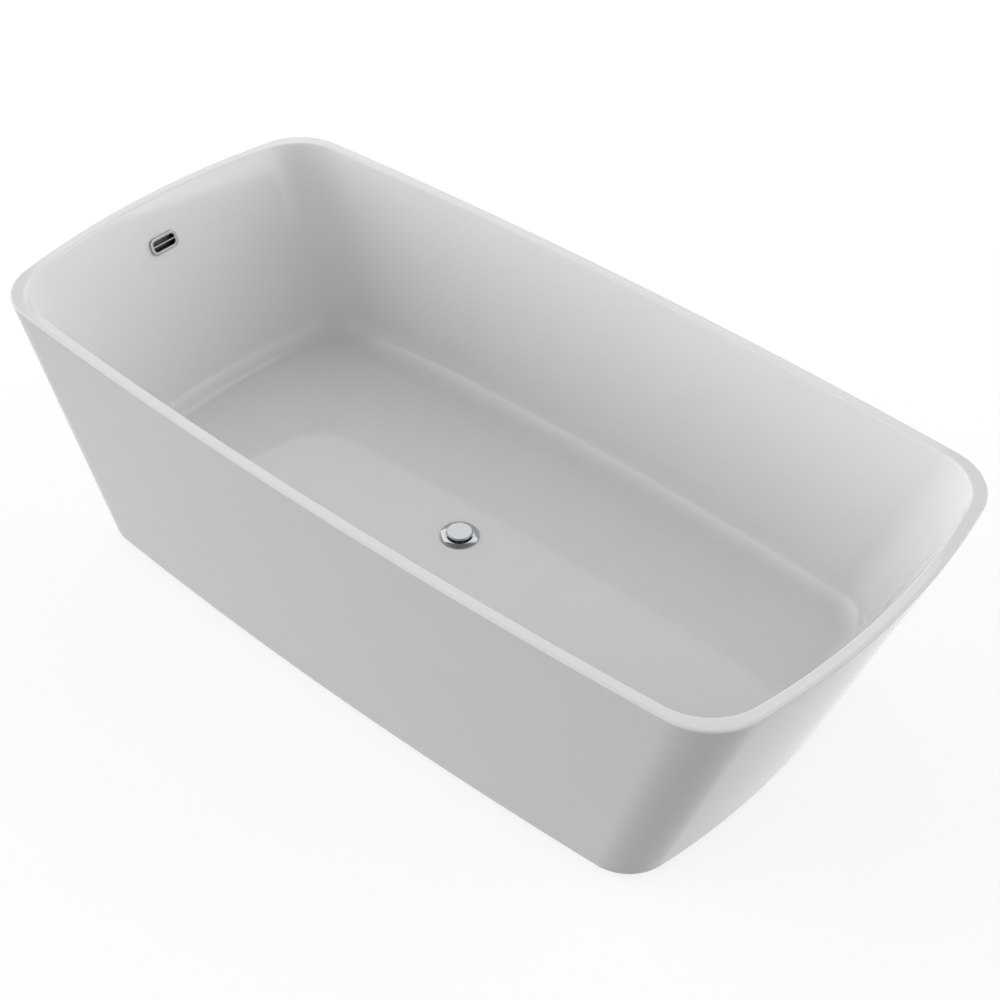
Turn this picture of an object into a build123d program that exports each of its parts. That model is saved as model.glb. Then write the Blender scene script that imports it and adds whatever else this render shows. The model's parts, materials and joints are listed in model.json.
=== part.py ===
"""Freestanding double-ended bathtub with its frame, waste, overflow and levelling feet.

Millimetres, +Z up. The origin is on the ground under the middle of the tub, +X runs along its
length and the overflow is at the -X end. The tub is two acrylic shells joined under the rim: the
basin that holds the water and the skirt that is seen from outside.
"""

from build123d import *
from math import acos, atan2, cos, degrees, hypot, sin, sqrt, tan
import os

# Overall size
overall_length = 1700
overall_width = 830
overall_height = 500
skirt_lift = 2              # gap under the skirt, the tub stands on its feet

# Outline at the rim: both ends and both sides bow outwards
rim_end_rise = 59
rim_side_rise = 34
rim_corner = 111
rim_width = 20
rim_edge_rounding = 4.2
rim_lip_depth = 20          # height of the turned-down edge, down to the joint with the skirt

# Outline of the skirt at the ground
foot_length = 1371
foot_width = 721
foot_end_rise = 48
foot_side_rise = 26
foot_corner = 88
foot_edge_rounding = 15
foot_flange_width = 26      # bottom edge turned inwards

# Water space
basin_depth = 376
floor_length = 1387
floor_width = 694
floor_end_rise = 50
floor_side_rise = 28
floor_corner = 93
floor_fillet = 50

# Sheet thicknesses, measured level
basin_wall = 5
skirt_wall = 4

# Clearances
running_fit = 0.05          # shafts in bores
socket_fit = 0.1            # pipes in sockets
bond_gap = 0.1              # glue line
bond_depth = 12             # how far the adhesive runs below the seam
seat_gap = 0.3              # flat piece seated on a curved wall

# Waste, on the centre line a little towards the overflow
drain_x = -27
flange_radius = 36.2
flange_thickness = 3
flange_gasket_thickness = 1.5
waste_tube_radius = 26.5
waste_hole_gap = 1
throat_radius = 21
throat_bore_radius = 23.5
cap_radius = 24
cap_thickness = 4.5
cap_lift = 8                # top of the open cap above the flange
cap_travel = 7
cap_recess_gap = 0.4
seal_height = 2.5
seal_radius = 22.4
stem_radius = 3
sleeve_radius = 5
spring_radius = 5.2
waste_tube_length = 40      # below the floor
spider_drop = 18            # top of the arms' boss below the floor
spider_height = 10
arm_width = 3
arm_height = 5
boss_wall = 2.5
waste_nut_height = 12
under_gasket_thickness = 3
tail_radius = 20            # outlet for a 40 mm waste pipe
tail_neck_radius = 19
tail_bore_radius = 17.5
tail_end = 4                # height of the open end above the ground
tail_neck_length = 14
tail_nut_length = 18

# Overflow
overflow_drop = 82.5        # below the rim
bezel_width = 64
bezel_height = 34
bezel_corner = 12
bezel_proud = 4.5
bezel_edge_rounding = 1.6
bezel_gap = 0.6             # behind the flat bezel, at its middle, where the wall bows away
slot_width = 52
slot_height = 22
slot_corner = 7
bar_height = 2.6            # louvre bar along the middle of the slot
bar_depth = 4
bar_setback = 1
spigot_gap = 0.5            # round the spigot, in the wall and the gasket
spigot_wall = 2
head_width = 74
head_height = 46
head_corner = 8
head_depth = 8.5
gasket_inset = 3
duct_width = 62
duct_depth = 8.5
duct_wall = 1.4
gasket_thickness = 1.8
overflow_pipe_radius = 16
overflow_pipe_wall = 1.8
elbow_bend = 45
elbow_shift = 5             # the round end stands inboard of the flat duct
duct_end_rise = 78          # end of the flat duct above the level pipe
fitting_wall = 3.2
socket_depth = 20
pipe_nut_length = 17
pipe_nut_rib = 4
pipe_nut_overhang = 8       # past the mouth of the fitting
pipe_clearance = 4          # between the level pipe and the tubes above it
clip_thickness = 2
clip_length = 12
seat_step = 1               # a pipe's stop at the bottom of its socket

# Frame
board_length = 1160
board_width = 540
board_corner = 80
board_hole_radius = 45
board_thickness = 12
tube_side = 25
tube_wall = 1.5
cap_plate = 2
rail_spacing = 400
rail_length = 1060
cross_tube_places = (-480, -170, 150, 480)
foot_spacing = 960
board_screw_places = (-330, 0, 330)
tie_place = 300
tie_width = 30
tie_thickness = 3
tie_end_gap = 4             # between a tie's end and the skirt
block_depth = 34
block_height = 30
screw_radius = 2.5
screw_head_radius = 5
screw_head_height = 3
block_screw_depth = 12
end_cap_gap = 0.2

# Levelling feet
thread_radius = 6
stud_reach = 16             # end of the thread inside the rail
thread_hole_gap = 0.5
stud_chamfer = 1
pad_radius = 25
pad_thickness = 6
pad_boss_radius = 11
pad_boss_height = 6
pad_chamfer = 2
pad_socket_depth = 2        # below the foot of the boss
spigot_radius = 5
collar_height = 6
collar_flats = 19
nut_height = 10
nut_flats = 19

# Heights that follow
floor_top = overall_height - basin_depth
floor_underside = floor_top - basin_wall
board_underside = floor_underside - board_thickness
rail_underside = board_underside - tube_side
pipe_level = rail_underside - overflow_pipe_radius - pipe_clearance
duct_end_height = pipe_level + duct_end_rise
waste_tube_bottom = floor_top - waste_tube_length
boss_high = floor_top - spider_drop
boss_low = boss_high - spider_height
thread_top = rail_underside + stud_reach
flange_top = floor_top + flange_gasket_thickness + flange_thickness
cap_underside = flange_top + cap_lift - cap_thickness
waste_hole_radius = waste_tube_radius + waste_hole_gap
lip_underside = overall_height - basin_wall
seam_height = overall_height - rim_lip_depth
rail_y = rail_spacing / 2
foot_places = [(x, y) for x in (-foot_spacing / 2, foot_spacing / 2) for y in (-rail_y, rail_y)]


def sharp_reach(half_top, half_foot):
    """How far a leaning wall's top corner would stand out if it weren't rounded."""
    corner_angle = atan2(overall_height, half_top - half_foot)
    return rim_edge_rounding * (1 / tan(corner_angle / 2) - 1)


rim_outline = (
    overall_length / 2 + sharp_reach(overall_length / 2, foot_length / 2),
    overall_width / 2 + sharp_reach(overall_width / 2, foot_width / 2),
    rim_end_rise,
    rim_side_rise,
    rim_corner,
)
foot_outline = (foot_length / 2, foot_width / 2, foot_end_rise, foot_side_rise, foot_corner)
mouth_outline = (
    overall_length / 2 - rim_width,
    overall_width / 2 - rim_width,
    rim_end_rise,
    rim_side_rise,
    rim_corner,
)
floor_outline = (floor_length / 2, floor_width / 2, floor_end_rise, floor_side_rise, floor_corner)


def grown(shape, amount):
    """The same outline, larger by amount all round."""
    half_length, half_width, end_rise, side_rise, corner = shape
    return (half_length + amount, half_width + amount, end_rise, side_rise, corner + amount)


def outline(height, shape):
    """A closed outline of four bowed sides and four round corners, all tangent, at a height.

    Each end is an arc that rises end_rise over the half width, each side one that rises side_rise
    over the half length, and the corner arc's centre is where both are one corner radius away.
    """
    half_length, half_width, end_rise, side_rise, corner = shape
    end_radius = (half_width**2 + end_rise**2) / (2 * end_rise)
    side_radius = (half_length**2 + side_rise**2) / (2 * side_rise)
    end_x = half_length - end_radius
    side_y = half_width - side_radius
    from_end = end_radius - corner
    from_side = side_radius - corner
    span = hypot(end_x, side_y)
    along = (from_end**2 - from_side**2 + span**2) / (2 * span)
    across = sqrt(from_end**2 - along**2)
    unit_x, unit_y = -end_x / span, side_y / span
    corner_x = end_x + along * unit_x + across * abs(unit_y)
    corner_y = along * unit_y + across * unit_x
    end_angle = atan2(corner_y, corner_x - end_x)
    side_angle = atan2(corner_y - side_y, corner_x)
    mid_angle = (end_angle + side_angle) / 2
    ax, ay = end_x + end_radius * cos(end_angle), end_radius * sin(end_angle)
    bx, by = corner_x + corner * cos(mid_angle), corner_y + corner * sin(mid_angle)
    cx, cy = side_radius * cos(side_angle), side_y + side_radius * sin(side_angle)
    with BuildSketch(Plane.XY.offset(height)) as sketch:
        with BuildLine():
            ThreePointArc((ax, -ay), (half_length, 0), (ax, ay))
            ThreePointArc((ax, ay), (bx, by), (cx, cy))
            ThreePointArc((cx, cy), (0, half_width), (-cx, cy))
            ThreePointArc((-cx, cy), (-bx, by), (-ax, ay))
            ThreePointArc((-ax, ay), (-half_length, 0), (-ax, -ay))
            ThreePointArc((-ax, -ay), (-bx, -by), (-cx, -cy))
            ThreePointArc((-cx, -cy), (0, -half_width), (cx, -cy))
            ThreePointArc((cx, -cy), (bx, -by), (ax, -ay))
        make_face()
    return sketch.sketch


def between(lower, upper, share):
    """The outline at a share of the way up from a lower outline to an upper one."""
    return tuple(low + (high - low) * share for low, high in zip(lower, upper))


def slab(low, high):
    """A block wider than the tub, from one height to another."""
    block = Box(2 * overall_length, 2 * overall_width, high - low, mode=Mode.PRIVATE)
    return Pos(0, 0, (low + high) / 2) * block


def skirt_space(inset):
    """All that lies inside the outer surface moved inwards and upwards by inset."""
    with BuildPart() as space:
        bottom = outline(inset, grown(between(foot_outline, rim_outline, inset / overall_height), -inset))
        loft([bottom, outline(overall_height, grown(rim_outline, -inset))], ruled=True)
        fillet(space.edges().group_by(Axis.Z)[0], foot_edge_rounding - inset)
    return space.part


def water_space(wall):
    """The water space grown outwards by wall, with its rounded floor edge."""
    with BuildPart() as space:
        lowest = between(floor_outline, mouth_outline, -wall / basin_depth)
        bottom = outline(floor_top - wall, grown(lowest, wall))
        loft([bottom, outline(overall_height, grown(mouth_outline, wall))], ruled=True)
        fillet(space.edges().group_by(Axis.Z)[0], floor_fillet + wall)
    return space.part


def save(piece, name):
    """Labels a finished piece and writes its file."""
    piece.part.label = name
    export_step(piece.part, f"parts/{name}.step")


os.makedirs("parts", exist_ok=True)

# The end wall at the overflow leans out. Its plane has its origin on the water side, x across
# the tub, y up the wall and z into the water.
wall_run = mouth_outline[0] - floor_outline[0]
wall_length = hypot(wall_run, basin_depth)
lean_cos = basin_depth / wall_length
lean_sin = wall_run / wall_length
lean_angle = degrees(acos(lean_sin))
overflow_x = -(mouth_outline[0] - wall_run * overflow_drop / basin_depth)
overflow_z = overall_height - overflow_drop
overflow_plane = Plane(origin=(overflow_x, 0, overflow_z), x_dir=(0, 1, 0), z_dir=(lean_cos, 0, lean_sin))
head_front = -basin_wall * lean_cos - seat_gap - gasket_thickness
head_mid = head_front - head_depth / 2


def behind_wall(up, out):
    """The point up the wall and out of the water from the overflow's centre."""
    return (overflow_x + out * lean_cos - up * lean_sin, 0, overflow_z + up * lean_cos + out * lean_sin)


down_wall = (lean_sin, 0, -lean_cos)
duct_start = behind_wall(-head_height / 2, head_mid)
duct_length = (duct_start[2] - duct_end_height) / lean_cos
duct_end = behind_wall(-head_height / 2 - duct_length, head_mid)
bend_start_z = pipe_level + elbow_bend * (1 - lean_sin)
bend_drop = (duct_end[2] - bend_start_z) / lean_cos
bend_start = (duct_end[0] + bend_drop * lean_sin + elbow_shift, 0, bend_start_z)
bend_end_x = bend_start[0] + elbow_bend * lean_cos
tee_radius = waste_tube_radius + socket_fit + fitting_wall
tee_mouth_x = drain_x - tee_radius - socket_depth
elbow_mouth_x = bend_end_x + socket_depth + fitting_wall
fitting_radius = overflow_pipe_radius + socket_fit + fitting_wall


def slot_outline(grow, mode=Mode.ADD):
    """The overflow slot's rounded outline, larger by grow all round."""
    RectangleRounded(slot_width + 2 * grow, slot_height + 2 * grow, slot_corner + grow, mode=mode)


# ---- Shells ----

skirt_hollow = skirt_space(skirt_wall)

with BuildPart() as basin:
    add(skirt_space(0) & slab(seam_height, overall_height))
    add(skirt_hollow & slab(seam_height, lip_underside), mode=Mode.SUBTRACT)
    add(water_space(basin_wall))
    add(water_space(0), mode=Mode.SUBTRACT)
    fillet(basin.edges().group_by(Axis.Z)[-1], rim_edge_rounding)
    with BuildSketch(Plane.XY.offset(floor_top)):
        with Locations((drain_x, 0)):
            Circle(waste_hole_radius)
    extrude(amount=-2 * basin_wall, mode=Mode.SUBTRACT)
    with BuildSketch(overflow_plane):
        slot_outline(spigot_wall + spigot_gap)
    extrude(amount=2 * basin_wall, both=True, mode=Mode.SUBTRACT)
save(basin, "basin")

with BuildPart() as skirt:
    add(skirt_space(0) & slab(skirt_lift, seam_height))
    add(skirt_hollow & slab(skirt_wall, overall_height), mode=Mode.SUBTRACT)
    add(outline(0, grown(foot_outline, -foot_flange_width)))
    extrude(amount=2 * skirt_wall, mode=Mode.SUBTRACT)
save(skirt, "skirt")

with BuildPart() as rim_bond:
    add(skirt_space(skirt_wall + bond_gap) & slab(seam_height - bond_depth, lip_underside - bond_gap))
    add(water_space(basin_wall + bond_gap), mode=Mode.SUBTRACT)
save(rim_bond, "rim_bond")

# ---- Base board and steel frame ----

with BuildPart() as base_board:
    with BuildSketch(Plane.XY.offset(board_underside)):
        RectangleRounded(board_length, board_width, board_corner)
        with Locations((drain_x, 0)):
            Circle(board_hole_radius, mode=Mode.SUBTRACT)
        with Locations([(x, y) for x in board_screw_places for y in (-rail_y, rail_y)]):
            Circle(screw_radius + running_fit, mode=Mode.SUBTRACT)
    extrude(amount=board_thickness)
save(base_board, "base_board")


def square_tube(plane, length):
    """A hollow square tube, centred on the plane and along its normal."""
    with BuildPart() as tube:
        with BuildSketch(plane):
            RectangleRounded(tube_side, tube_side, 2 * tube_wall)
            RectangleRounded(tube_side - 2 * tube_wall, tube_side - 2 * tube_wall, tube_wall, mode=Mode.SUBTRACT)
        extrude(amount=length / 2, both=True)
    return tube.part


rail_mid = rail_underside + tube_side / 2
for name, y in (("front", -rail_y), ("back", rail_y)):
    with BuildPart() as rail:
        add(square_tube(Plane((0, y, rail_mid), x_dir=(0, 1, 0), z_dir=(1, 0, 0)), rail_length))
        with BuildSketch(Plane.XY.offset(rail_underside)):
            with Locations([(x, y) for x in board_screw_places]):
                Circle(screw_radius + running_fit)
        extrude(amount=tube_side, mode=Mode.SUBTRACT)
        with BuildSketch(Plane.XY.offset(rail_underside)):
            with Locations([(x, y) for x, foot_y in foot_places if foot_y == y]):
                Circle(thread_radius + thread_hole_gap)
            with Locations([(x, y) for x in (-tie_place, tie_place)]):
                Circle(screw_radius + running_fit)
        extrude(amount=2 * tube_wall, mode=Mode.SUBTRACT)
    save(rail, f"frame_rail_{name}")

cross_tube_length = rail_spacing - tube_side - 2 * bond_gap
for number, x in enumerate(cross_tube_places, 1):
    with BuildPart() as cross_tube:
        add(square_tube(Plane((x, 0, rail_mid), x_dir=(1, 0, 0), z_dir=(0, 1, 0)), cross_tube_length))
    save(cross_tube, f"cross_tube_{number}")

cap_plug_side = tube_side - 2 * tube_wall - 2 * end_cap_gap
with BuildPart() as rail_end_caps:
    for side in (-1, 1):
        end = Plane(origin=(side * rail_length / 2, 0, rail_mid), x_dir=(0, 1, 0), z_dir=(side, 0, 0))
        with BuildSketch(end):
            with Locations((-rail_y, 0), (rail_y, 0)):
                RectangleRounded(tube_side, tube_side, 2 * tube_wall)
        extrude(amount=cap_plate)
        with BuildSketch(end):
            with Locations((-rail_y, 0), (rail_y, 0)):
                RectangleRounded(cap_plug_side, cap_plug_side, tube_wall)
        extrude(amount=-4 * cap_plate)
save(rail_end_caps, "rail_end_caps")


def ring_nuts(places, low, height, flats, bore):
    """Hexagon nuts at the places, with a plain bore."""
    with BuildPart() as nuts:
        with BuildSketch(Plane.XY.offset(low)):
            with Locations(places):
                RegularPolygon(flats / 2, 6, major_radius=False)
                Circle(bore, mode=Mode.SUBTRACT)
        extrude(amount=height)
    return nuts


save(ring_nuts(foot_places, rail_underside - nut_height, nut_height, nut_flats, thread_radius + running_fit),
     "weld_nuts")
save(ring_nuts(foot_places, rail_underside - 2 * nut_height, nut_height, nut_flats, thread_radius + running_fit),
     "lock_nuts")


def screws(places, low, length):
    """Screws that stand head down at the places."""
    with BuildPart() as group:
        with BuildSketch(Plane.XY.offset(low)):
            with Locations(places):
                Circle(screw_head_radius)
        extrude(amount=screw_head_height)
        chamfer(group.edges().group_by(Axis.Z)[0], screw_head_height / 3)
        with BuildSketch(Plane.XY.offset(low + screw_head_height)):
            with Locations(places):
                Circle(screw_radius)
        extrude(amount=length)
    return group


board_screw_spots = [(x, y) for x in board_screw_places for y in (-rail_y, rail_y)]
save(screws(board_screw_spots, rail_underside - screw_head_height, tube_side + 0.7 * board_thickness),
     "board_screws")

# Ties from the rails out to blocks that are glued to the inside of the skirt
tie_low = rail_underside - tie_thickness
tie_inner = rail_y - tube_side / 2
tie_screw_spots = []
for number, (x, side) in enumerate([(x, side) for x in (-tie_place, tie_place) for side in (-1, 1)], 1):
    reach = foot_width / 2
    spots = [(x, side * rail_y), (x, side * (reach - block_depth / 2 - tie_end_gap))]
    tie_screw_spots += spots
    with BuildPart() as tie_bar:
        with BuildSketch(Plane.XY.offset(tie_low)):
            with Locations((x, side * (tie_inner + reach) / 2)):
                Rectangle(tie_width, reach - tie_inner)
            with Locations(spots):
                Circle(screw_radius + running_fit, mode=Mode.SUBTRACT)
        extrude(amount=tie_thickness)
        add(skirt_space(skirt_wall + tie_end_gap), mode=Mode.INTERSECT)
    save(tie_bar, f"tie_bar_{number}")
    with BuildPart() as glue_block:
        with BuildSketch(Plane.XY.offset(rail_underside)):
            with Locations((x, side * reach)):
                Rectangle(tie_width, 2 * block_depth)
            with Locations(spots):
                Circle(screw_radius + running_fit, mode=Mode.SUBTRACT)
        extrude(amount=block_height)
        add(skirt_space(skirt_wall + seat_gap), mode=Mode.INTERSECT)
    save(glue_block, f"glue_block_{number}")
save(screws(tie_screw_spots, tie_low - screw_head_height, tie_thickness + block_screw_depth), "tie_screws")

# ---- Levelling feet ----

for number, (x, y) in enumerate(foot_places, 1):
    with BuildPart() as foot_pad:
        with BuildSketch(Plane.XY):
            with Locations((x, y)):
                Circle(pad_radius)
        extrude(amount=pad_thickness)
        chamfer(foot_pad.edges().group_by(Axis.Z)[-1], pad_chamfer)
        with BuildSketch(Plane.XY.offset(pad_thickness)):
            with Locations((x, y)):
                Circle(pad_boss_radius)
        extrude(amount=pad_boss_height)
        with BuildSketch(Plane.XY.offset(pad_thickness - pad_socket_depth)):
            with Locations((x, y)):
                Circle(spigot_radius + running_fit)
        extrude(amount=pad_boss_height + pad_socket_depth, mode=Mode.SUBTRACT)
    save(foot_pad, f"foot_pad_{number}")
    collar_low = pad_thickness + pad_boss_height
    with BuildPart() as foot_stud:
        with BuildSketch(Plane.XY.offset(collar_low)):
            with Locations((x, y)):
                RegularPolygon(collar_flats / 2, 6, major_radius=False)
        extrude(amount=collar_height)
        with BuildSketch(Plane.XY.offset(collar_low)):
            with Locations((x, y)):
                Circle(spigot_radius)
        extrude(amount=2 * running_fit - pad_boss_height - pad_socket_depth)
        with BuildSketch(Plane.XY.offset(collar_low + collar_height)):
            with Locations((x, y)):
                Circle(thread_radius)
        extrude(amount=thread_top - collar_low - collar_height)
        chamfer(foot_stud.edges().group_by(Axis.Z)[-1], stud_chamfer)
    save(foot_stud, f"foot_stud_{number}")

# ---- Overflow ----

with BuildPart() as overflow_bezel:
    with BuildSketch(overflow_plane.offset(bezel_gap)):
        RectangleRounded(bezel_width, bezel_height, bezel_corner)
    extrude(amount=bezel_proud)
    fillet(overflow_bezel.edges().group_by(Axis((0, 0, 0), (lean_cos, 0, lean_sin)))[-1], bezel_edge_rounding)
    with BuildSketch(overflow_plane.offset(bezel_gap)):
        slot_outline(spigot_wall)
    extrude(amount=head_front - bezel_gap - 2 * duct_wall)
    with BuildSketch(overflow_plane):
        slot_outline(0)
    extrude(amount=4 * bezel_proud, both=True, mode=Mode.SUBTRACT)
    with BuildSketch(overflow_plane.offset(bezel_gap + bezel_proud - bar_setback)):
        Rectangle(slot_width, bar_height)
    extrude(amount=-bar_depth)
save(overflow_bezel, "overflow_bezel")

with BuildPart() as overflow_gasket:
    with BuildSketch(overflow_plane.offset(head_front)):
        RectangleRounded(head_width - 2 * gasket_inset, head_height - 2 * gasket_inset, head_corner - 2)
        slot_outline(spigot_wall + spigot_gap, Mode.SUBTRACT)
    extrude(amount=gasket_thickness)
save(overflow_gasket, "overflow_gasket")

with BuildPart() as overflow_head:
    with BuildSketch(overflow_plane.offset(head_front)):
        RectangleRounded(head_width, head_height, head_corner)
    extrude(amount=-head_depth)
    with BuildSketch(overflow_plane.offset(head_front - duct_wall)):
        RectangleRounded(head_width - 4 * duct_wall, head_height - 4 * duct_wall, head_corner - 2)
    extrude(amount=2 * duct_wall - head_depth, mode=Mode.SUBTRACT)
    with BuildSketch(overflow_plane.offset(head_front)):
        slot_outline(spigot_wall + socket_fit)
    extrude(amount=-2 * duct_wall, mode=Mode.SUBTRACT)
    with BuildSketch(Plane(duct_start, x_dir=(0, 1, 0), z_dir=down_wall)):
        Rectangle(duct_width - 4 * duct_wall, duct_depth - 2 * duct_wall)
    extrude(amount=-3 * duct_wall, mode=Mode.SUBTRACT)
save(overflow_head, "overflow_head")

with BuildPart() as overflow_duct:
    with BuildSketch(Plane(duct_start, x_dir=(0, 1, 0), z_dir=down_wall)):
        SlotOverall(duct_width, duct_depth)
        SlotOverall(duct_width - 2 * duct_wall, duct_depth - 2 * duct_wall, mode=Mode.SUBTRACT)
    extrude(amount=duct_length)
save(overflow_duct, "overflow_duct")


def bend(flat_width, flat_depth, radius):
    """A flat opening that becomes round, then turns level along the tub."""
    with BuildPart() as run:
        with BuildSketch(Plane(duct_end, x_dir=(0, 1, 0), z_dir=down_wall)) as flat_end:
            SlotOverall(flat_width, flat_depth)
        with BuildSketch(Plane(bend_start, x_dir=(0, 1, 0), z_dir=down_wall)) as round_end:
            Circle(radius)
        loft()
        with BuildSketch(Plane(bend_start, x_dir=(0, 1, 0), z_dir=down_wall)):
            Circle(radius)
        with BuildLine(Plane.XZ):
            JernArc((bend_start[0], bend_start[2]), (lean_sin, -lean_cos), elbow_bend, lean_angle)
        sweep()
    return run.part


with BuildPart() as overflow_elbow:
    add(bend(duct_width, duct_depth, overflow_pipe_radius - seat_step + fitting_wall))
    with BuildSketch(Plane((bend_end_x, 0, pipe_level), z_dir=(1, 0, 0))):
        Circle(fitting_radius)
    extrude(amount=elbow_mouth_x - bend_end_x)
    add(bend(duct_width - 2 * duct_wall, duct_depth - 2 * duct_wall, overflow_pipe_radius - seat_step), mode=Mode.SUBTRACT)
    with BuildSketch(Plane((bend_end_x, 0, pipe_level), z_dir=(1, 0, 0))):
        Circle(overflow_pipe_radius - seat_step)
    extrude(amount=elbow_mouth_x - bend_end_x, mode=Mode.SUBTRACT)
    with BuildSketch(Plane((elbow_mouth_x, 0, pipe_level), z_dir=(-1, 0, 0))):
        Circle(overflow_pipe_radius + socket_fit)
    extrude(amount=socket_depth, mode=Mode.SUBTRACT)
save(overflow_elbow, "overflow_elbow")

with BuildPart() as overflow_pipe:
    pipe_start = elbow_mouth_x - socket_depth
    with BuildSketch(Plane((pipe_start, 0, pipe_level), z_dir=(1, 0, 0))):
        Circle(overflow_pipe_radius)
        Circle(overflow_pipe_radius - overflow_pipe_wall, mode=Mode.SUBTRACT)
    extrude(amount=tee_mouth_x + socket_depth - pipe_start)
save(overflow_pipe, "overflow_pipe")


def pipe_nut(mouth, side):
    """A ribbed compression nut on a level fitting whose mouth faces side."""
    inner = fitting_radius + running_fit
    with BuildPart() as nut:
        with BuildSketch(Plane((mouth + side * pipe_nut_overhang, 0, pipe_level), z_dir=(-side, 0, 0))):
            RegularPolygon(inner + pipe_nut_rib, 12, major_radius=False)
        extrude(amount=pipe_nut_length)
        with BuildSketch(Plane((mouth, 0, pipe_level), z_dir=(-side, 0, 0))):
            Circle(inner)
        extrude(amount=pipe_nut_length, mode=Mode.SUBTRACT)
        with BuildSketch(Plane((mouth, 0, pipe_level), z_dir=(side, 0, 0))):
            Circle(overflow_pipe_radius + socket_fit)
        extrude(amount=pipe_nut_length, mode=Mode.SUBTRACT)
    return nut


save(pipe_nut(elbow_mouth_x, 1), "elbow_nut")
save(pipe_nut(tee_mouth_x, -1), "tee_nut")

with BuildPart() as pipe_clips:
    for x in cross_tube_places[:2]:
        with BuildSketch(Plane((x, 0, pipe_level), x_dir=(0, 1, 0), z_dir=(1, 0, 0))):
            Circle(overflow_pipe_radius + socket_fit + clip_thickness)
            with Locations((0, (rail_underside - pipe_level) / 2)):
                Rectangle(tube_side - 5, rail_underside - pipe_level)
            Circle(overflow_pipe_radius + socket_fit, mode=Mode.SUBTRACT)
        extrude(amount=clip_length / 2, both=True)
save(pipe_clips, "pipe_clips")

# ---- Waste ----

drain = Plane((drain_x, 0, 0))


def turned(points):
    """A solid turned about the drain's axis from its (radius, height) outline."""
    with BuildPart() as piece:
        with BuildSketch(Plane((drain_x, 0, 0), x_dir=(1, 0, 0), z_dir=(0, -1, 0))):
            with BuildLine():
                Polyline(*points, close=True)
            make_face()
        revolve(axis=Axis((drain_x, 0, 0), (0, 0, 1)))
    return piece


def washer(inner, outer, low, high):
    """A plain ring about the drain's axis."""
    return turned([(inner, low), (outer, low), (outer, high), (inner, high)])


recess_floor = cap_underside - cap_travel - seat_gap
seat_floor = recess_floor - seal_height
with BuildPart() as waste_flange:
    add(turned([
        (throat_bore_radius, waste_tube_bottom),
        (waste_tube_radius, waste_tube_bottom),
        (waste_tube_radius, floor_top + flange_gasket_thickness),
        (flange_radius, floor_top + flange_gasket_thickness),
        (flange_radius, floor_top + flange_gasket_thickness + flange_thickness / 3),
        (flange_radius - flange_thickness, flange_top),
        (cap_radius + cap_recess_gap, flange_top),
        (cap_radius + cap_recess_gap, recess_floor),
        (seal_radius + cap_recess_gap, recess_floor),
        (seal_radius + cap_recess_gap, seat_floor),
        (throat_radius, seat_floor),
        (throat_radius, seat_floor - 4),
        (throat_bore_radius, seat_floor - 4),
    ]).part)
    with BuildSketch(Plane.XY.offset(boss_low + arm_width)):
        with Locations((drain_x, 0)):
            Rectangle(2 * waste_tube_radius - tube_wall, arm_width)
            Rectangle(arm_width, 2 * waste_tube_radius - tube_wall)
    extrude(amount=arm_height)
    with BuildSketch(Plane.XY.offset(boss_low)):
        with Locations((drain_x, 0)):
            Circle(sleeve_radius + boss_wall)
    extrude(amount=boss_high - boss_low)
    with BuildSketch(Plane.XY.offset(boss_low)):
        with Locations((drain_x, 0)):
            Circle(sleeve_radius + running_fit)
    extrude(amount=boss_high - boss_low, mode=Mode.SUBTRACT)
save(waste_flange, "waste_flange")

save(washer(waste_hole_radius, flange_radius - 1.5, floor_top, floor_top + flange_gasket_thickness),
     "flange_gasket")
under_gasket_low = floor_underside - under_gasket_thickness
save(washer(waste_tube_radius + running_fit, board_hole_radius - 6, under_gasket_low, floor_underside),
     "under_gasket")

with BuildPart() as waste_lock_nut:
    with BuildSketch(Plane.XY.offset(under_gasket_low - waste_nut_height)):
        with Locations((drain_x, 0)):
            RegularPolygon(board_hole_radius - 8, 8, major_radius=False)
            Circle(waste_tube_radius + running_fit, mode=Mode.SUBTRACT)
    extrude(amount=waste_nut_height)
save(waste_lock_nut, "waste_lock_nut")

tee_top = under_gasket_low - waste_nut_height - pipe_clearance
tee_neck = pipe_level - fitting_radius - 2
with BuildPart() as waste_tee:
    add(turned([
        (0, tee_neck),
        (tee_radius, tee_neck),
        (tee_radius, tee_top),
        (0, tee_top),
    ]).part)
    with BuildSketch(Plane((drain_x, 0, pipe_level), z_dir=(-1, 0, 0))):
        Circle(fitting_radius)
    extrude(amount=drain_x - tee_mouth_x)
    with BuildSketch(Plane.XY.offset(tee_neck)):
        with Locations((drain_x, 0)):
            Circle(tail_neck_radius + socket_fit + fitting_wall)
    extrude(amount=-tail_neck_length)
    with BuildSketch(Plane.XY.offset(tee_top)):
        with Locations((drain_x, 0)):
            Circle(waste_tube_radius + socket_fit)
    extrude(amount=waste_tube_bottom - 1 - tee_top, mode=Mode.SUBTRACT)
    with BuildSketch(Plane.XY.offset(waste_tube_bottom)):
        with Locations((drain_x, 0)):
            Circle(throat_bore_radius)
    extrude(amount=tee_neck + fitting_wall - waste_tube_bottom, mode=Mode.SUBTRACT)
    with BuildSketch(Plane.XY.offset(tee_neck - tail_neck_length)):
        with Locations((drain_x, 0)):
            Circle(tail_neck_radius + socket_fit)
    extrude(amount=tail_neck_length + fitting_wall, mode=Mode.SUBTRACT)
    with BuildSketch(Plane((drain_x, 0, pipe_level), z_dir=(-1, 0, 0))):
        Circle(overflow_pipe_radius - seat_step)
    extrude(amount=drain_x - tee_mouth_x, mode=Mode.SUBTRACT)
    with BuildSketch(Plane((tee_mouth_x, 0, pipe_level), z_dir=(1, 0, 0))):
        Circle(overflow_pipe_radius + socket_fit)
    extrude(amount=socket_depth, mode=Mode.SUBTRACT)
save(waste_tee, "waste_tee")

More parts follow.
